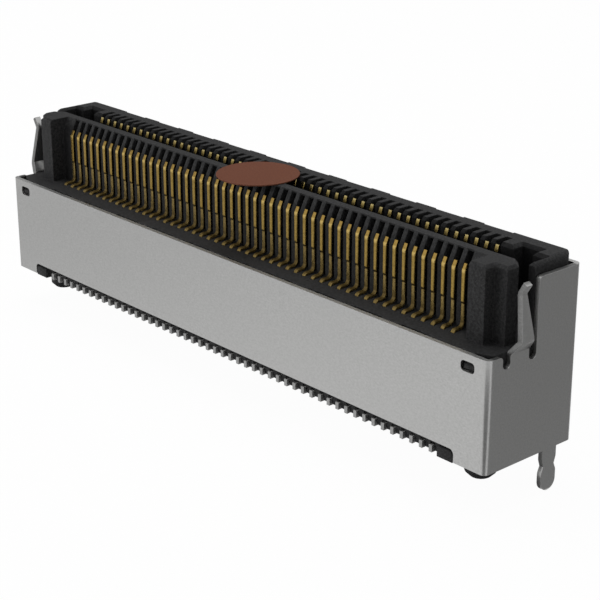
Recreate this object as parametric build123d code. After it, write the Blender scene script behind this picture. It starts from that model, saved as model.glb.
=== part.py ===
from build123d import *
import os

os.makedirs("parts", exist_ok=True)

# Shielded self-mating board to board connector, sizes in millimetres
# X runs along the contact rows and +Z points away from the board
# The origin lies on the board, under the middle of the shield
# The front half (-Y) carries the exposed blades, the rear half (+Y) takes the mating part

# Contact rows
positions = 50
pitch = 0.50
contacts_per_node = 5
contact_width = 0.17
contact_stock = 0.10

# Heights above the board
base_bottom = 0.05
base_top = 4.44
housing_top = 7.37
shield_bottom = 0.04
shield_low_top = 4.42
shield_high_top = 6.94

# Contact legs and solder toes, measured from the centre plane
leg_offset = 1.275
toe_end = 2.28
toe_rise = 0.31
foot_gap = 0.01

# Front blades
blade_offset = 0.785
blade_tip_lean = 0.10
blade_tip_height = 6.90
blade_knee_height = 6.66

# Rear beams
beam_offset = 0.99
beam_knee_lead = 0.12
beam_tip_lead = 0.035
beam_tip_height = 7.24
beam_knee_height = 6.98

# Front comb wall
split_gap = 0.02
rib_face = 0.75
crest_width = 0.41
slope_height = 0.65
slot_width = 0.28
front_slot_depth = 0.33

# Rear comb wall
rear_slot_depth = 0.65
lead_in = 0.13
crown_radius = 0.30

# End keys of the front half and the pockets that take the mating keys
key_margin = 0.78
key_width = 0.80
key_reach = 1.42
ear_width = 0.58
ear_reach = 0.93
key_back_bevel = 0.33
key_edge_bevel = 0.12
mating_clearance = 0.05
arm_wall = 0.32
arm_front = 0.10

# Housing outline, with shallow recesses spaced along its front and back faces
housing_depth = 4.30
front_corner_x = 0.70
front_corner_y = 0.33
rear_corner = 0.42
recess_spacing = 2.50
recess_count = 10
recess_width = 1.46
recess_depth = 0.07
front_recess_height = 1.60

# Contact passages through the base
leg_clearance = 0.01
side_clearance = 0.03
toe_clearance = 0.04

# Alignment pins
pin_radius = 0.60
pin_tip = -0.92
pin_bevel = 0.20
pin_inset = 0.44
pin_offset = 0.86

# Standoff lugs that fill the ends of the shield's bottom notch
lug_margin = 0.40
lug_width = 0.78
lug_height = 0.43
lug_face_inset = 0.01
lug_depth = 0.70
lug_bevel = 0.10

# Shield sheet
sheet = 0.20
shield_gap = 0.02
bend_inside = 0.04
notch_height = 0.50
notch_corner = 0.20
lug_gap = 0.04
seam = 0.05

# Retention windows and the bumps that sit in them
window_width = 0.65
window_height = 0.40
window_corner = 0.14
window_from_end = 0.995
window_top_margin = 0.28
bump_gap = 0.07
bump_height = 0.14
bump_ramp = 0.10

# Spring tongues in the end walls
tongue_centre = -0.77
tongue_root = 0.975
tongue_neck = 0.67
tongue_tip = 0.28
relief_width = 0.385
relief_bottom = 3.905
low_corner = 0.16
high_corner = 0.15
tongue_bend_height = 4.41
tongue_bulge_rise = 0.45
tongue_bulge = 0.35
tongue_contact_rise = 2.14
tongue_contact = 0.075
tongue_lip_rise = 2.55
tongue_lip = 0.31
tongue_bend_radius = 0.08

# Through-board tails of the shield
tail_centre = 1.135
tail_width = 0.76
tail_neck = 0.58
tail_bulb = 0.80
tail_shoulder_height = -0.36
tail_neck_height = -0.64
tail_bulb_height = -0.90
tail_tip = -1.65

# Pick-and-place film disc
disc_diameter = 3.44
film = 0.05

# Derived places
half_row = (positions - 1) * pitch / 2
key_inner = half_row + key_margin
key_outer = key_inner + key_width
ear_outer = key_outer + ear_width
half_length = ear_outer + mating_clearance + arm_wall
half_depth = housing_depth / 2
shield_inner_x = half_length + shield_gap
shield_inner_y = half_depth + shield_gap
shield_outer_x = shield_inner_x + sheet
shield_outer_y = shield_inner_y + sheet
crest_front = split_gap + crest_width
rear_face = beam_offset - contact_stock / 2
foot_height = base_top + foot_gap + contact_stock / 2
lug_inner = half_row + lug_margin
notch_half = lug_inner + lug_width + lug_gap
tail_round_height = tail_tip + tail_bulb / 2
window_x = shield_outer_x - window_from_end
window_z = shield_low_top - window_top_margin - window_height / 2
low_end = tongue_centre - tongue_root / 2 - relief_width
high_end = tongue_centre + tongue_root / 2 + relief_width
overcut = 1.0


def strip_face(points, stock, bend=0):
    """Section of a bent strip: a centreline thickened to both sides, with an inside bend radius."""
    nodes = [Vector(*point) for point in points]
    runs = [(end - start).normalized() for start, end in zip(nodes, nodes[1:])]
    sides = [[], []]
    for node, before, after in zip(nodes, runs[:1] + runs, runs + runs[-1:]):
        middle = (before + after).normalized()
        across = Vector(-middle.Y, middle.X) * (stock / 2 / middle.dot(after))
        sides[0].append(node + across)
        sides[1].append(node - across)
    if bend == 0:
        return make_face(Polyline(*sides[0], *reversed(sides[1]), close=True))
    turns = [before.cross(after).Z for before, after in zip(runs, runs[1:])]
    left = FilletPolyline(*sides[0], radius=[bend if turn > 0 else bend + stock for turn in turns])
    right = FilletPolyline(*sides[1], radius=[bend + stock if turn > 0 else bend for turn in turns])
    start_cap = Line(sides[0][0], sides[1][0])
    end_cap = Line(sides[0][-1], sides[1][-1])
    return make_face(left.edges() + right.edges() + start_cap.edges() + end_cap.edges())


def prism_along_x(face, low, high):
    """Extrude a face drawn in Y and Z from one X to another."""
    return extrude(Plane.YZ.offset(low) * face, high - low)


def block(low, high):
    """Box between two corners."""
    size = [b - a for a, b in zip(low, high)]
    middle = [(a + b) / 2 for a, b in zip(low, high)]
    return Pos(*middle) * Box(*size)


def both_ends(part):
    """The part and its mirror image at the other end of the row."""
    return [part, mirror(part, Plane.YZ)]


# Contacts, drawn edge-on in Y and Z
blade_path = [
    (-blade_offset + blade_tip_lean, blade_tip_height),
    (-blade_offset, blade_knee_height),
    (-blade_offset, foot_height),
    (-leg_offset, foot_height),
    (-leg_offset, 0),
]
beam_path = [
    (beam_offset - beam_tip_lead, beam_tip_height),
    (beam_offset - beam_knee_lead, beam_knee_height),
    (beam_offset, foot_height),
    (leg_offset, foot_height),
    (leg_offset, 0),
]
toe_length = toe_end - leg_offset + contact_stock / 2
toe = Pos(toe_end - toe_length / 2, toe_rise / 2) * Rectangle(toe_length, toe_rise)
blade_section = strip_face(blade_path, contact_stock) + mirror(toe, Plane.YZ)
beam_section = strip_face(beam_path, contact_stock) + toe
blade = prism_along_x(blade_section, -contact_width / 2, contact_width / 2)
beam = prism_along_x(beam_section, -contact_width / 2, contact_width / 2)

# Base block, its front corners cut back from the bends of the shield
base_plan = make_face(
    Polyline(
        (half_length, half_depth),
        (half_length, front_corner_y - half_depth),
        (half_length - front_corner_x, -half_depth),
        (front_corner_x - half_length, -half_depth),
        (-half_length, front_corner_y - half_depth),
        (-half_length, half_depth),
        close=True,
    )
)
base_plan = fillet(base_plan.vertices().sort_by(Axis.Y)[-2:], rear_corner)
base = extrude(Plane.XY.offset(base_bottom) * base_plan, base_top - base_bottom)
recess_row = GridLocations(recess_spacing, 1, recess_count, 1)
base -= recess_row * block(
    (-recess_width / 2, -half_depth - overcut, base_top - front_recess_height),
    (recess_width / 2, recess_depth - half_depth, base_top + overcut),
)

# Front comb wall: its sloped crest leads the mating part in
wall_section = make_face(
    Polyline(
        (-rib_face, base_top),
        (-rib_face, housing_top - slope_height),
        (-crest_front, housing_top),
        (-split_gap, housing_top),
        (-split_gap, base_top),
        close=True,
    )
)
front_wall = prism_along_x(wall_section, -key_inner, key_inner)
row = GridLocations(pitch, 1, positions, 1)
front_slot = block(
    (-slot_width / 2, -rib_face - overcut, base_top),
    (slot_width / 2, -rib_face + front_slot_depth, housing_top + overcut),
)
front_wall -= row * front_slot

# Stepped end keys, bevelled round their outer top edges
key_plan = make_face(
    Polyline(
        (key_inner, -split_gap),
        (key_inner, -key_reach),
        (key_outer, -key_reach),
        (key_outer, -ear_reach),
        (ear_outer, -ear_reach),
        (ear_outer, -split_gap - key_back_bevel),
        (ear_outer - key_back_bevel, -split_gap),
        close=True,
    )
)
key = extrude(Plane.XY.offset(base_top) * key_plan, housing_top - base_top)
key_rim = [
    edge
    for edge in key.faces().sort_by(Axis.Z)[-1].edges()
    if edge.center().X > key_inner + key_edge_bevel and edge.center().Y < -split_gap - key_edge_bevel
]
key = chamfer(key_rim, key_edge_bevel)

# Rear half: comb wall, key pockets and end arms in one plan
pocket_steps = [
    (ear_outer + mating_clearance, arm_front),
    (ear_outer + mating_clearance, ear_reach + mating_clearance),
    (key_outer + mating_clearance, ear_reach + mating_clearance),
    (key_outer + mating_clearance, key_reach + mating_clearance),
    (key_inner - mating_clearance, key_reach + mating_clearance),
    (key_inner - mating_clearance, rear_face),
]
rear_plan = make_face(
    Polyline(
        (half_length, half_depth),
        (half_length, arm_front),
        *pocket_steps,
        *[(-x, y) for x, y in reversed(pocket_steps)],
        (-half_length, arm_front),
        (-half_length, half_depth),
        close=True,
    )
)
rear_plan = fillet(rear_plan.vertices().sort_by(Axis.Y)[-2:], rear_corner)
rear_wall = extrude(Plane.XY.offset(base_top) * rear_plan, housing_top - base_top)
mouth_rim = [
    edge
    for edge in rear_wall.faces().sort_by(Axis.Z)[-1].edges()
    if edge.center().Y < key_reach + 2 * mating_clearance
    and abs(edge.center().X) < half_length - arm_wall / 4
]
rear_wall = chamfer(mouth_rim, lead_in)
rear_slot = block(
    (-slot_width / 2, rear_face - overcut, base_top),
    (slot_width / 2, rear_face + rear_slot_depth, housing_top + overcut),
)
rear_wall -= row * rear_slot
rear_wall -= recess_row * block(
    (-recess_width / 2, half_depth - recess_depth, base_top),
    (recess_width / 2, half_depth + overcut, housing_top + overcut),
)

# Crown: the upper ends of the rear wall and its arms are rounded over
crown_height = 2 * (housing_top - base_top)
crown_plane = Plane.XZ.offset(-half_depth - overcut)
crown_shape = RectangleRounded(2 * half_length, crown_height, crown_radius)
crown_shape = Pos(0, housing_top - crown_height / 2) * crown_shape
rear_wall &= extrude(crown_plane * crown_shape, 2 * (half_depth + overcut))

# Alignment pins under the front half
pin_blank = Cylinder(
    pin_radius, base_bottom - pin_tip + overcut, align=(Align.CENTER, Align.CENTER, Align.MIN)
)
pin_blank = chamfer(pin_blank.edges().sort_by(Axis.Z)[0], pin_bevel)
pin = Pos(key_inner + pin_inset, -pin_offset, pin_tip) * pin_blank

# Standoff lugs at the ends of the shield's bottom notches
lug_front = -shield_outer_y + lug_face_inset
lug_blank = block(
    (lug_inner, lug_front, 0),
    (lug_inner + lug_width, lug_front + lug_depth, lug_height),
)
lug_outer_top = (lug_inner + lug_width, lug_front, lug_height)
lug = chamfer(lug_blank.edges().filter_by(Axis.Y).sort_by_distance(lug_outer_top)[0], lug_bevel)

# Retention bumps, ramped on top so that the shield snaps over them
bump_root = half_depth - 2 * bump_height
bump_face = half_depth + bump_height
bump_low = window_z - window_height / 2 + bump_gap
bump_high = window_z + window_height / 2 - bump_gap
bump_section = make_face(
    Polyline(
        (-bump_root, bump_low),
        (-bump_face, bump_low),
        (-bump_face, bump_high - bump_ramp),
        (-half_depth, bump_high),
        (-bump_root, bump_high),
        close=True,
    )
)
bump_half = window_width / 2 - bump_gap
bump = prism_along_x(bump_section, window_x - bump_half, window_x + bump_half)

# Passages for the legs, opening into grooves for the toes
leg_front = leg_offset + contact_stock / 2 + leg_clearance
leg_back = leg_offset - contact_stock / 2 - leg_clearance
groove_top = toe_rise + toe_clearance
passage_section = make_face(
    Polyline(
        (-half_depth - overcut, base_bottom - overcut),
        (-half_depth - overcut, groove_top),
        (-leg_front, groove_top),
        (-leg_front, base_top + overcut),
        (-leg_back, base_top + overcut),
        (-leg_back, base_bottom - overcut),
        close=True,
    )
)
front_passage_half = contact_width / 2 + side_clearance
front_passage = prism_along_x(passage_section, -front_passage_half, front_passage_half)
rear_passage = mirror(prism_along_x(passage_section, -slot_width / 2, slot_width / 2), Plane.XZ)
base -= row * (front_passage + rear_passage)

# Housing moulding
front_details = both_ends(lug) + both_ends(bump)
rear_details = [mirror(detail, Plane.XZ) for detail in front_details]
housing = base + front_wall + both_ends(key) + rear_wall + both_ends(pin) + front_details + rear_details

# Shield: a closed band of sheet, trimmed to its stepped side outline
band_outer = RectangleRounded(2 * shield_outer_x, 2 * shield_outer_y, bend_inside + sheet)
band_inner = RectangleRounded(2 * shield_inner_x, 2 * shield_inner_y, bend_inside)
band = extrude(Plane.XY.offset(shield_bottom) * (band_outer - band_inner), shield_high_top - shield_bottom)
span_x = shield_outer_x + overcut
span_y = shield_outer_y + overcut
low_block = block((-span_x, -span_y, shield_bottom), (span_x, low_end, shield_low_top))
low_edge = low_block.edges().filter_by(Axis.X).sort_by_distance((0, low_end, shield_low_top))[0]
low_block = fillet(low_edge, low_corner)
high_block = block((-span_x, high_end, shield_bottom), (span_x, span_y, shield_high_top))
high_edge = high_block.edges().filter_by(Axis.X).sort_by_distance((0, high_end, shield_high_top))[0]
high_block = fillet(high_edge, high_corner)
strip_start = tongue_bend_height - sheet / 2
root_block = block((-span_x, low_end, shield_bottom), (span_x, high_end, strip_start))
relief = block(
    (-span_x, -relief_width / 2, relief_bottom + relief_width / 2),
    (span_x, relief_width / 2, shield_high_top + overcut),
)
relief += Pos(0, 0, relief_bottom + relief_width / 2) * Rot(0, 90, 0) * Cylinder(relief_width / 2, 2 * span_x)
relief_offset = (tongue_root + relief_width) / 2
reliefs = [Pos(0, tongue_centre + side * relief_offset, 0) * relief for side in (-1, 1)]
band &= low_block + high_block + root_block - reliefs

# Spring tongue: bent out, back in to its contact line, and flared at the lip
sheet_middle = shield_inner_x + sheet / 2
tongue_section = strip_face(
    [
        (sheet_middle, strip_start),
        (sheet_middle, tongue_bend_height),
        (sheet_middle + tongue_bulge, tongue_bend_height + tongue_bulge_rise),
        (sheet_middle + tongue_contact, tongue_bend_height + tongue_contact_rise),
        (sheet_middle + tongue_lip, tongue_bend_height + tongue_lip_rise),
    ],
    sheet,
    tongue_bend_radius,
)
tongue_sheet = extrude(Plane.XZ.offset(-shield_inner_y) * tongue_section, 2 * shield_inner_y)
tongue_side = [
    (tongue_root / 2, strip_start - overcut),
    (tongue_root / 2, tongue_bend_height),
    (tongue_neck / 2, tongue_bend_height + tongue_bulge_rise),
    (tongue_tip / 2, tongue_bend_height + tongue_contact_rise),
    (tongue_tip / 2, tongue_bend_height + tongue_lip_rise + overcut),
]
tongue_outline = make_face(
    Polyline(
        *[(tongue_centre - y, z) for y, z in tongue_side],
        *[(tongue_centre + y, z) for y, z in reversed(tongue_side)],
        close=True,
    )
)
tongue = tongue_sheet & prism_along_x(tongue_outline, shield_inner_x - overcut, span_x)

# Through-board tail with a snap bulb
tail_side = [
    (tail_width / 2, shield_bottom),
    (tail_width / 2, tail_shoulder_height),
    (tail_neck / 2, tail_neck_height),
    (tail_bulb / 2, tail_bulb_height),
    (tail_bulb / 2, tail_round_height),
]
tail_right = [(tail_centre + y, z) for y, z in tail_side]
tail_left = [(tail_centre - y, z) for y, z in reversed(tail_side)]
tail_edges = [
    Polyline(*tail_right),
    ThreePointArc(tail_right[-1], (tail_centre, tail_tip), tail_left[0]),
    Polyline(*tail_left),
    Line(tail_left[-1], tail_right[0]),
]
tail_outline = make_face([edge for piece in tail_edges for edge in piece.edges()])
tail = prism_along_x(tail_outline, shield_inner_x, shield_outer_x)

# Cut-outs of the sheet
window_plane = Plane.XZ.offset(shield_inner_y - sheet)
window_shape = RectangleRounded(window_width, window_height, window_corner)
window = extrude(window_plane * Pos(window_x, window_z) * window_shape, 3 * sheet)
notch_plane = Plane.XZ.offset(-span_y)
notch_centre = shield_bottom + (notch_height - overcut) / 2
notch_shape = RectangleRounded(2 * notch_half, notch_height + overcut, notch_corner)
notch = extrude(notch_plane * Pos(0, notch_centre) * notch_shape, 2 * span_y)
seam_cut = block(
    (-seam / 2, shield_inner_y - sheet, shield_bottom - overcut),
    (seam / 2, span_y, shield_high_top + overcut),
)
windows = both_ends(window)
windows += [mirror(opening, Plane.XZ) for opening in windows]
shield = band + both_ends(tongue) + both_ends(tail)
shield = shield - windows - notch - seam_cut

# Film disc on the crests of both combs
disc = Pos(0, 0, housing_top) * Cylinder(
    disc_diameter / 2, film, align=(Align.CENTER, Align.CENTER, Align.MIN)
)

# One file a node, with like contacts in groups
export_step(housing, "parts/housing.step")
export_step(shield, "parts/shield.step")
export_step(disc, "parts/pickup_disc.step")
for group in range(positions // contacts_per_node):
    first = group * contacts_per_node
    places = [Pos(index * pitch - half_row, 0, 0) for index in range(first, first + contacts_per_node)]
    export_step(Compound([place * blade for place in places]), f"parts/front_contacts_{group + 1:02d}.step")
    export_step(Compound([place * beam for place in places]), f"parts/rear_contacts_{group + 1:02d}.step")
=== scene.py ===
import bmesh
import bpy
import math
from mathutils import Matrix, Vector


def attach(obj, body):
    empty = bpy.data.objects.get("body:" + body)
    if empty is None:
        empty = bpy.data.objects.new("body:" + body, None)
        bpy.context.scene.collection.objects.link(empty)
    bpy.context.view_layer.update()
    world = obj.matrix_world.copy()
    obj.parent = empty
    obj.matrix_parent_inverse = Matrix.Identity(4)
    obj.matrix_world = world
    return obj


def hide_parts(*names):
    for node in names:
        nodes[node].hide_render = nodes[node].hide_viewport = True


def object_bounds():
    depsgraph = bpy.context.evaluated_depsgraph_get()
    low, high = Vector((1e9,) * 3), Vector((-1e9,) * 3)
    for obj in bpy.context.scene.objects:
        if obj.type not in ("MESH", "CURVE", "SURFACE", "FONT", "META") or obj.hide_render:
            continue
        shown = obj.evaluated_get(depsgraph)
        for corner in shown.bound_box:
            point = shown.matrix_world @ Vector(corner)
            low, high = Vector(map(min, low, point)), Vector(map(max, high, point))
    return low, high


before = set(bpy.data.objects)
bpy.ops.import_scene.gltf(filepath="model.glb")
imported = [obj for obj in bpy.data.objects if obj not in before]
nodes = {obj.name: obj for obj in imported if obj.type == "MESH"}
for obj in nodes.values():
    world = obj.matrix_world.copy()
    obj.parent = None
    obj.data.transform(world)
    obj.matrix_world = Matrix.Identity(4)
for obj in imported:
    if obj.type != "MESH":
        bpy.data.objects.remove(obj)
cad_low, cad_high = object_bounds()
MM = 0.001

# Contact rows, in millimetres, as (distance from the centre plane, height) along each contact
POSITIONS = 50
PER_GROUP = 5
PITCH = 0.5
WIDTH = 0.17
STOCK = 0.10
EDGE = 0.018
BLADE = [
    (-0.685, 6.90), (-0.785, 6.66), (-0.79, 5.50), (-0.765, 5.42), (-0.765, 4.50), (-1.275, 4.50), (-1.275, 0.02),
]
BEAM = [(0.955, 7.24), (0.87, 6.98), (0.99, 4.50), (1.275, 4.50), (1.275, 0.02)]
BLADE_BENDS = [0.10, 0.10, 0.12, 0.20, 0.12]
BEAM_BENDS = [0.12, 0.12, 0.12]
WAIST = (5.40, 5.52)
WAIST_SHARE = 0.86
TIP_WIDTH_SHARE = 0.9
TIP_STOCK_SHARE = 0.75
TOE_START = 1.225
TOE_END = 2.28
TOE_RISE = 0.31
TOE_EDGE = 0.015

# Slots of the front comb, in millimetres
SLOT_FLOOR = -0.42
SLOT_BACK = -0.15
SLOT_CEILING = 7.29
SLOT_FOOT = 4.6
SLOT_TOLERANCE = 0.004
LONG_EDGE = 1.0

# Broken edges, in millimetres
MOULDED_EDGE = 0.022
SHEARED_EDGE = 0.010

# Bands where the finish changes, and where shade and highlights are painted, in millimetres
WALL_FROM = (2.05, 2.15)
TAIL_BELOW = (0.0, 0.10)
SHADED_RIB_FACES = (-0.80, -0.75)
SHADED_CHANNEL_FACES = (0.10, 0.20)
REAR_ROW = (-0.1, 0.1)
TIN_BELOW = (1.6, 1.9)
FOOT_BEND = (4.53, 4.60)
ABOVE_BEND = (4.70, 4.85)
MATT_BELOW = (4.60, 4.85)
FLASH_BELOW = (5.40, 5.50)
KNEE_HIGHLIGHT_FROM = (6.55, 6.62)
KNEE_HIGHLIGHT_TO = (6.68, 6.75)
TIP_ABOVE = (6.72, 6.80)
REAR_TIP = (6.90, 7.15)
REAR_EDGE = (7.18, 7.22)


class Graph:
    """Small helper round the node tree of a material or world."""

    def __init__(self, owner, output="ShaderNodeOutputMaterial"):
        owner.use_nodes = True
        self.tree = owner.node_tree
        self.tree.nodes.clear()
        self.output = self.add(output)
        self.coords = self.add("ShaderNodeTexCoord")

    def add(self, kind, inputs=None, **settings):
        node = self.tree.nodes.new(kind)
        for key, value in settings.items():
            setattr(node, key, value)
        for key, value in (inputs or {}).items():
            if isinstance(value, bpy.types.NodeSocket):
                self.tree.links.new(value, node.inputs[key])
            else:
                node.inputs[key].default_value = value
        return node

    def parts(self, source):
        """The X, Y and Z of one output of the texture coordinates."""
        return self.add("ShaderNodeSeparateXYZ", {"Vector": self.coords.outputs[source]}).outputs

    def noise(self, scale, detail, roughness):
        """Noise with a scale of its own along each axis."""
        stretched = self.add("ShaderNodeMapping", {"Vector": self.coords.outputs["Object"], "Scale": scale})
        inputs = {"Vector": stretched.outputs["Vector"], "Scale": 1.0, "Detail": detail, "Roughness": roughness}
        return self.add("ShaderNodeTexNoise", inputs).outputs["Fac"]

    def ramp(self, value, low, high, start, stop):
        inputs = {"Value": value, "From Min": low, "From Max": high, "To Min": start, "To Max": stop}
        return self.add("ShaderNodeMapRange", inputs).outputs["Result"]

    def band(self, value, limits, start, stop):
        """A ramp between two distances given in millimetres."""
        return self.ramp(value, limits[0] * MM, limits[1] * MM, start, stop)

    def math(self, operation, *values):
        return self.add("ShaderNodeMath", dict(enumerate(values)), operation=operation).outputs[0]

    def mix(self, factor, first, second):
        return self.add("ShaderNodeMix", {0: factor, 6: first, 7: second}, data_type="RGBA").outputs[2]

    def bump(self, height, distance, strength):
        inputs = {"Height": height, "Distance": distance, "Strength": strength}
        return self.add("ShaderNodeBump", inputs).outputs["Normal"]

    def seen_rays(self):
        """1 for the rays of the camera, of mirrors and of glass, 0 for the rest."""
        rays = self.add("ShaderNodeLightPath").outputs
        seen = self.math("MAXIMUM", rays["Is Camera Ray"], rays["Is Glossy Ray"])
        return self.math("MAXIMUM", seen, rays["Is Transmission Ray"])

    def end(self, shader):
        self.tree.links.new(shader.outputs[0], self.output.inputs["Surface"])

    def surface(self, **inputs):
        named = {key.replace("_", " "): value for key, value in inputs.items()}
        self.end(self.add("ShaderNodeBsdfPrincipled", named))


def grey(value):
    return (value, value, value, 1.0)


def shield_material():
    """Rolled sheet: fine grain along the strip, faint clouding, sheared edges dull and partly darkened as painted
    shade, and a painted highlight along the upper edges of the front and back walls.
    """
    look = bpy.data.materials.new("shield_sheet")
    g = Graph(look)
    grain = g.noise((9000, 14000, 14000), 4.0, 0.7)
    cloud = g.noise((260, 420, 420), 2.0, 0.5)
    streak = g.ramp(grain, 0.25, 0.75, 0.0, 1.0)
    tone = g.mix(streak, (0.355, 0.355, 0.350, 1), (0.500, 0.500, 0.494, 1))
    tone = g.mix(g.ramp(cloud, 0.3, 0.7, 0.0, 0.35), tone, (0.415, 0.415, 0.409, 1))
    facing = g.parts("Normal")
    place = g.parts("Object")
    from_middle = g.math("ABSOLUTE", place["Y"])
    # Darker edge tone: the dull finish of sheared edges, and painted shade that keeps highlights off the upward faces
    # and the forward edge faces
    upward = g.ramp(g.math("ABSOLUTE", facing["Z"]), 0.75, 0.90, 0.0, 1.0)
    forward = g.ramp(g.math("ABSOLUTE", facing["Y"]), 0.60, 0.80, 0.0, 1.0)
    sheared = g.math("MULTIPLY", forward, g.band(from_middle, WALL_FROM, 1.0, 0.0))
    sheared = g.math("MULTIPLY", sheared, g.band(place["Z"], TAIL_BELOW, 0.0, 1.0))
    sheared = g.math("MAXIMUM", sheared, upward)
    tone = g.mix(sheared, tone, g.mix(streak, (0.150, 0.150, 0.148, 1), (0.270, 0.270, 0.266, 1)))
    # Painted highlight on the upward top edges of the front and back walls
    painted_rim_highlight = g.math("MULTIPLY", upward, g.band(from_middle, WALL_FROM, 0.0, 1.0))
    tone = g.mix(painted_rim_highlight, tone, g.mix(streak, (0.54, 0.54, 0.532, 1), (0.72, 0.72, 0.71, 1)))
    rough = g.math("ADD", g.ramp(grain, 0.2, 0.8, 0.29, 0.36), g.ramp(sheared, 0, 1, 0, 0.16))
    g.surface(Base_Color=tone, Metallic=1.0, Roughness=rough, Normal=g.bump(grain, 1.2e-6, 0.4))
    return look


def plastic_material():
    """Black moulding: pale specks, soft sheen, fine spark texture, and painted shade on the faces between the ribs and
    in the channel.
    """
    look = bpy.data.materials.new("black_moulding")
    g = Graph(look)
    speck = g.noise((11000, 11000, 11000), 4.0, 0.75)
    cloud = g.noise((900, 900, 900), 2.0, 0.5)
    tone = g.mix(g.ramp(speck, 0.35, 0.8, 0.0, 1.0), (0.0095, 0.0095, 0.0098, 1), (0.062, 0.062, 0.063, 1))
    tone = g.mix(g.ramp(cloud, 0.3, 0.7, 0.0, 0.3), tone, (0.023, 0.023, 0.0235, 1))
    facing = g.parts("Normal")["Y"]
    depth = g.parts("Object")["Y"]
    # Painted shade on the front comb's faces between the ribs and on the faces in the channel, where the combs keep
    # the light off
    ribs = g.math("MULTIPLY", g.ramp(facing, -0.97, -0.90, 0.5, 0.0), g.band(depth, SHADED_RIB_FACES, 0.0, 1.0))
    channel = g.math("MULTIPLY", g.ramp(facing, -0.50, -0.30, 0.7, 0.0), g.band(depth, SHADED_CHANNEL_FACES, 0.0, 1.0))
    tone = g.mix(g.math("MAXIMUM", ribs, channel), tone, (0.004, 0.004, 0.0042, 1))
    rough = g.ramp(speck, 0.3, 0.7, 0.50, 0.66)
    g.surface(Base_Color=tone, Roughness=rough, Normal=g.bump(speck, 3.0e-6, 0.7), Specular_IOR_Level=0.10)
    return look


def contact_material():
    """Gold, thin below the jog, with a painted highlight at the knee, painted tones on the tips and the rear row, and
    painted shade at the foot bend; tin on the solder end.
    """
    look = bpy.data.materials.new("plated_contact")
    g = Graph(look)
    place = g.parts("Object")
    height = place["Z"]
    grain = g.noise((14000, 14000, 9000), 4.0, 0.75)
    speckle = g.ramp(grain, 0.3, 0.7, 0.0, 1.0)
    gold = g.mix(speckle, (0.205, 0.134, 0.031, 1), (0.385, 0.262, 0.070, 1))
    flash = g.mix(speckle, (0.165, 0.115, 0.036, 1), (0.370, 0.268, 0.098, 1))
    gold = g.mix(g.band(height, FLASH_BELOW, 0.0, 1.0), flash, gold)
    # Painted highlight across the knee
    painted_knee_highlight = g.math("MULTIPLY", g.band(height, KNEE_HIGHLIGHT_FROM, 0.0, 1.0), g.band(height, KNEE_HIGHLIGHT_TO, 0.9, 0.0))
    gold = g.mix(painted_knee_highlight, gold, (0.56, 0.40, 0.13, 1))
    # Painted tone on the leaning tip, for the light that falls on it, more orange than the blade
    gold = g.mix(g.band(height, TIP_ABOVE, 0.0, 0.5), gold, (0.42, 0.27, 0.075, 1))
    # Painted shade at the foot bend
    bend = g.math("MULTIPLY", g.band(height, FOOT_BEND, 0.0, 0.6), g.band(height, ABOVE_BEND, 1.0, 0.0))
    gold = g.mix(bend, gold, (0.075, 0.052, 0.020, 1))
    # Rear row: gold of a greener hue, with painted shade lower down in the channel and a painted highlight along the
    # top edge
    rear_gold_shaded = g.mix(g.band(height, REAR_TIP, 0.0, 1.0), (0.13, 0.092, 0.028, 1), (0.34, 0.255, 0.085, 1))
    rear_gold_shaded = g.mix(g.band(height, REAR_EDGE, 0.0, 0.6), rear_gold_shaded, (0.60, 0.50, 0.23, 1))
    gold = g.mix(g.band(place["Y"], REAR_ROW, 0.0, 1.0), gold, rear_gold_shaded)
    tin = g.mix(speckle, (0.25, 0.25, 0.248, 1), (0.42, 0.42, 0.415, 1))
    tone = g.mix(g.band(height, TIN_BELOW, 0.0, 1.0), tin, gold)
    rough = g.math("ADD", g.ramp(grain, 0.3, 0.7, 0.22, 0.34), g.band(height, MATT_BELOW, 0.25, 0.0))
    g.surface(Base_Color=tone, Metallic=1.0, Roughness=rough, Normal=g.bump(grain, 1.2e-6, 0.5))
    return look


def film_material():
    """Amber-brown film with a fine matt texture."""
    look = bpy.data.materials.new("brown_film")
    g = Graph(look)
    speck = g.noise((12000, 12000, 12000), 4.0, 0.75)
    cloud = g.noise((1200, 1200, 1200), 2.0, 0.5)
    tone = g.mix(g.ramp(speck, 0.3, 0.75, 0.0, 1.0), (0.092, 0.030, 0.016, 1), (0.182, 0.076, 0.048, 1))
    tone = g.mix(g.ramp(cloud, 0.3, 0.7, 0.0, 0.3), tone, (0.127, 0.046, 0.028, 1))
    rough = g.ramp(speck, 0.3, 0.7, 0.48, 0.62)
    g.surface(Base_Color=tone, Roughness=rough, Normal=g.bump(speck, 2.0e-6, 0.5), Specular_IOR_Level=0.04)
    return look


def floor_material():
    """White to the camera and in mirrors, pale to every other ray, with a share of the object's shadow."""
    look = bpy.data.materials.new("pale_floor")
    g = Graph(look)
    diffuse = g.add("ShaderNodeBsdfDiffuse", {"Color": grey(0.80)})
    glow = g.add("ShaderNodeEmission", {"Color": grey(1.0), "Strength": 1.0})
    share = g.math("MULTIPLY", g.seen_rays(), 0.97)
    g.end(g.add("ShaderNodeMixShader", {0: share, 1: diffuse.outputs[0], 2: glow.outputs[0]}))
    return look


def card_material(name, near, far, start, stop):
    """A glowing card of painted shade, which may run from near to far along X, in millimetres."""
    look = bpy.data.materials.new(name)
    g = Graph(look)
    shade = near if near == far else g.band(g.parts("Object")["X"], (start, stop), near, far)
    g.end(g.add("ShaderNodeEmission", {"Color": grey(1.0), "Strength": shade}))
    return look


def link(obj):
    bpy.context.scene.collection.objects.link(obj)
    return obj


def paint(obj, material):
    obj.data.materials.clear()
    obj.data.materials.append(material)


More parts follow.
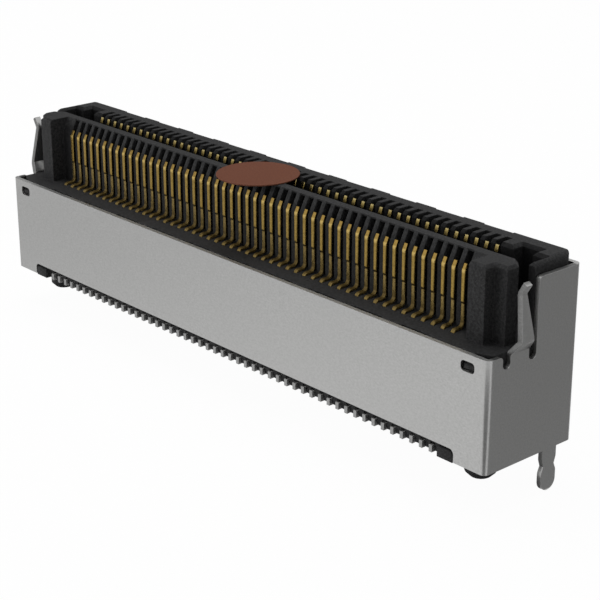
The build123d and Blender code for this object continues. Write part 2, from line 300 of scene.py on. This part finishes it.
def new_object(name, bm, material, smooth_angle):
    mesh = bpy.data.meshes.new(name)
    bm.normal_update()
    bm.to_mesh(mesh)
    bm.free()
    obj = link(bpy.data.objects.new(name, mesh))
    mesh.shade_smooth()
    mesh.set_sharp_from_angle(angle=math.radians(smooth_angle))
    paint(obj, material)
    return obj


def dissolve_flat(bm):
    bmesh.ops.dissolve_limit(bm, angle_limit=math.radians(0.5), verts=bm.verts, edges=bm.edges)


def deepen_slots(bm):
    """Hollow the front comb's slots under a thin bridge below the crest."""
    floors = [
        face for face in bm.faces
        if face.normal.y < -0.999
        and abs(face.calc_center_median().y - SLOT_FLOOR * MM) < SLOT_TOLERANCE * MM
        and max(v.co.z for v in face.verts) > SLOT_CEILING * MM
        and min(v.co.z for v in face.verts) < SLOT_FOOT * MM
    ]
    for face in floors:
        cuts = []
        for edge in list(face.edges):
            low, high = sorted(edge.verts, key=lambda v: v.co.z)
            if high.co.z - low.co.z > LONG_EDGE * MM:
                share = (SLOT_CEILING * MM - low.co.z) / (high.co.z - low.co.z)
                cuts.append(bmesh.utils.edge_split(edge, low, share)[1])
        if len(cuts) != 2:
            continue
        other, _ = bmesh.utils.face_split(face, cuts[0], cuts[1])
        lower = min((face, other), key=lambda f: f.calc_center_median().z)
        grown = bmesh.ops.extrude_discrete_faces(bm, faces=[lower])["faces"]
        for vert in {v for f in grown for v in f.verts}:
            vert.co.y = SLOT_BACK * MM
    dissolve_flat(bm)


def broken_edges(node, name, radius, material, carve=None):
    """The moulded or sheared part with its sharp edges slightly rounded."""
    bm = bmesh.new()
    bm.from_mesh(nodes[node].data)
    bmesh.ops.remove_doubles(bm, verts=bm.verts, dist=1e-7)
    dissolve_flat(bm)
    bm.normal_update()
    if carve:
        carve(bm)
        bm.normal_update()
    sharp = [e for e in bm.edges if e.is_manifold and e.calc_face_angle() > math.radians(30)]
    bmesh.ops.bevel(
        bm, geom=sharp, offset=radius * MM, offset_type="OFFSET", segments=2, profile=0.5,
        affect="EDGES", clamp_overlap=False, harden_normals=False,
    )
    piece = new_object(name, bm, material, 50)
    weighted = piece.modifiers.new("normals", "WEIGHTED_NORMAL")
    weighted.keep_sharp = True
    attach(piece, "root")
    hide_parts(node)
    return piece


def rounded_path(points, radii, steps=5):
    """The bent centreline, with an arc at each bend."""
    corners = [Vector(p) for p in points]
    path = [corners[0]]
    for before, corner, after, radius in zip(corners, corners[1:], corners[2:], radii):
        into = (corner - before)
        out = (after - corner)
        limit = min(into.length, out.length) * 0.49
        into.normalize()
        out.normalize()
        turn = into.angle(out)
        back = min(radius * math.tan(turn / 2), limit)
        radius = back / math.tan(turn / 2)
        start = corner - into * back
        side = 1 if into.cross(out) > 0 else -1
        centre = start + Vector((-into.y, into.x)) * radius * side
        for step in range(steps + 1):
            swing = side * turn * step / steps
            spoke = start - centre
            path.append(centre + Vector((
                spoke.x * math.cos(swing) - spoke.y * math.sin(swing),
                spoke.x * math.sin(swing) + spoke.y * math.cos(swing),
            )))
    path.append(corners[-1])
    return path


def add_strip(bm, middle, path):
    """A strip swept along the path, with softly broken edges and a slight waist."""
    rings = []
    last = len(path) - 1
    for k, point in enumerate(path):
        before = (point - path[max(k - 1, 0)]) if k else (path[1] - point)
        after = (path[k + 1] - point) if k < last else before
        along = (before.normalized() + after.normalized()).normalized()
        across = Vector((-along.y, along.x)) / max(along.dot(after.normalized()), 0.5)
        waist = WAIST_SHARE if point.x < 0 and WAIST[0] < point.y < WAIST[1] else 1.0
        w = WIDTH / 2 * (TIP_WIDTH_SHARE if k == 0 else waist)
        s = STOCK / 2 * (TIP_STOCK_SHARE if k == 0 else 1.0)
        section = [
            (w - EDGE, s), (w, s - EDGE), (w, EDGE - s), (w - EDGE, -s),
            (EDGE - w, -s), (-w, EDGE - s), (-w, s - EDGE), (EDGE - w, s),
        ]
        rings.append([
            bm.verts.new(((middle + a) * MM, (point.x + across.x * b) * MM, (point.y + across.y * b) * MM))
            for a, b in section
        ])
    for ring, following in zip(rings, rings[1:]):
        for k in range(len(ring)):
            m = (k + 1) % len(ring)
            bm.faces.new((ring[k], ring[m], following[m], following[k]))
    bm.faces.new(rings[0])
    bm.faces.new(list(reversed(rings[-1])))


def add_toe(bm, middle, side):
    """The tall solder toe at the foot of a leg."""
    size = (WIDTH, TOE_END - TOE_START, TOE_RISE)
    place = (middle, side * (TOE_START + TOE_END) / 2, TOE_RISE / 2)
    made = bmesh.ops.create_cube(bm, size=1.0)["verts"]
    for vert in made:
        vert.co = Vector([(place[i] + vert.co[i] * size[i]) * MM for i in range(3)])
    edges = {edge for vert in made for edge in vert.link_edges}
    bmesh.ops.bevel(bm, geom=list(edges), offset=TOE_EDGE * MM, segments=1, profile=0.5, affect="EDGES")


def contact_group(node, name, points, radii, material):
    """A group of bent strips with softly rounded edges."""
    group = int(node[-2:]) - 1
    path = rounded_path(points, radii)
    side = -1 if points[0][0] < 0 else 1
    bm = bmesh.new()
    for index in range(group * PER_GROUP, (group + 1) * PER_GROUP):
        middle = (index - (POSITIONS - 1) / 2) * PITCH
        add_strip(bm, middle, path)
        add_toe(bm, middle, side)
    bmesh.ops.recalc_face_normals(bm, faces=bm.faces)
    piece = new_object(name, bm, material, 40)
    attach(piece, "root")
    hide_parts(node)


def sheet_of(name, corners, material):
    """One flat rectangle of the stage, with its corners in metres."""
    mesh = bpy.data.meshes.new(name)
    mesh.from_pydata(corners, [], [(0, 1, 2, 3)])
    obj = link(bpy.data.objects.new(name, mesh))
    paint(obj, material)
    return obj


def card(name, shades, corners, lights_matt):
    """A glowing card of painted shade that only mirrors see, or that also lights matt surfaces."""
    obj = sheet_of(name, [(x * MM, y * MM, z * MM) for x, y, z in corners], card_material(name, *shades))
    obj.visible_camera = False
    obj.visible_shadow = False
    obj.visible_transmission = False
    obj.visible_diffuse = lights_matt


def area_light(name, place, size, watts):
    light = bpy.data.lights.new(name, "AREA")
    light.shape = "RECTANGLE"
    light.size, light.size_y = size
    light.energy = watts
    obj = link(bpy.data.objects.new(name, light))
    obj.location = Vector(place)
    obj.rotation_mode = "QUATERNION"
    obj.rotation_quaternion = (LIT_POINT - obj.location).to_track_quat("-Z", "Y")
    obj.visible_glossy = False


shield_look = shield_material()
plastic_look = plastic_material()
contact_look = contact_material()
film_look = film_material()

housing = broken_edges("housing", "housing_moulding", MOULDED_EDGE, plastic_look, deepen_slots)
shield = broken_edges("shield", "shield_sheet", SHEARED_EDGE, shield_look)
disc = broken_edges("pickup_disc", "pickup_film", SHEARED_EDGE, film_look)
for number in range(1, POSITIONS // PER_GROUP + 1):
    contact_group(f"front_contacts_{number:02d}", f"front_strips_{number:02d}", BLADE, BLADE_BENDS, contact_look)
    contact_group(f"rear_contacts_{number:02d}", f"rear_strips_{number:02d}", BEAM, BEAM_BENDS, contact_look)

# Floor just below the lowest point of the part, in metres
REACH = 3.0
LEVEL = cad_low.z - 0.00001
floor_corners = [(-REACH, -REACH, LEVEL), (REACH, -REACH, LEVEL), (REACH, REACH, LEVEL), (-REACH, REACH, LEVEL)]
floor = sheet_of("floor", floor_corners, floor_material())

# World, white where it is seen and dimmer where it lights
world = bpy.data.worlds.new("studio")
bpy.context.scene.world = world
sky = Graph(world, "ShaderNodeOutputWorld")
ambient = sky.add("ShaderNodeBackground", {"Color": grey(1.0), "Strength": 0.34})
white = sky.add("ShaderNodeBackground", {"Color": grey(1.0), "Strength": 1.0})
sky.end(sky.add("ShaderNodeMixShader", {0: sky.seen_rays(), 1: ambient.outputs[0], 2: white.outputs[0]}))

# Grey cards that glow, seen in the shield and not by the camera: painted reflections of shade, with card_right and
# card_under standing in for the shadow on the floor beside and under the part; near and far shade with the X range
# between them, then the corners in millimetres
# Those on the floor lie just above it, one over another
CARDS = [
    (
        "card_right", (0.32, 0.29, 15, 40),
        [(15.005, -2.2, -1.6), (60, 9, -1.6), (60, 90, -1.6), (15.005, 90, -1.6)], True,
    ),
    ("card_side", (0.30, 0.30, 15, 60), [(60, 9, -1.6), (60, 90, -1.6), (60, 90, 50), (60, 9, 50)], True),
    (
        "card_front", (0.25, 0.25, 0, 60),
        [(15.1, -2.6, -1.6), (14, -60, -1.6), (60, -60, -1.6), (60, -12, -1.6)], False,
    ),
    (
        "card_left", (0.78, 1.0, -24, 6),
        [(-40, -2.6, -1.62), (-40, -60, -1.62), (8, -60, -1.62), (8, -2.6, -1.62)], False,
    ),
    (
        "card_under", (0.12, 0.12, -14, 14),
        [(-14.6, -2.2, -1.61), (14.9, -2.2, -1.61), (14.9, 2.3, -1.61), (-14.6, 2.3, -1.61)], False,
    ),
    ("card_back", (0.45, 0.45, -60, 60), [(-90, 20, 4), (-20, 90, 4), (-15, 70, 80), (-70, 15, 80)], False),
    ("card_high", (0.20, 0.20, -60, 60), [(-70, -50, 24), (-40, 30, 20), (-30, 20, 75), (-50, -60, 75)], False),
]
for name, shades, corners, lights_matt in CARDS:
    card(name, shades, corners, lights_matt)

# Soft lamps, in metres
LIT_POINT = Vector((0.0, 0.0, 0.003))
area_light("key", (-0.125, -0.125, 0.060), (0.14, 0.05), 0.16)
area_light("top", (-0.03, 0.02, 0.16), (0.14, 0.10), 0.16)

# Camera solved from the photo's straight edges, in millimetres and degrees
CAMERA_PLACE = (49.8785, -41.9923, 26.5805)
AZIMUTH = 48.4064
ELEVATION = 20.7569
ROLL = -0.0871
camera_data = bpy.data.cameras.new("camera")
camera = link(bpy.data.objects.new("camera", camera_data))
bpy.context.scene.camera = camera
camera_data.sensor_width = 36.0
camera_data.lens = 99.5411
camera_data.clip_start = 0.002
camera_data.clip_end = 20.0
camera.location = [v * MM for v in CAMERA_PLACE]
azimuth, elevation, roll = math.radians(AZIMUTH), math.radians(ELEVATION), math.radians(ROLL)
back = Vector((math.sin(azimuth) * math.cos(elevation), -math.cos(azimuth) * math.cos(elevation), math.sin(elevation)))
right = (-back).cross(Vector((0, 0, 1))).normalized()
up = back.cross(right)
turn = Matrix((right, up, back)).transposed() @ Matrix.Rotation(roll, 3, "Z")
camera.rotation_mode = "QUATERNION"
camera.rotation_quaternion = turn.to_quaternion()

bpy.context.scene.view_settings.view_transform = "Standard"
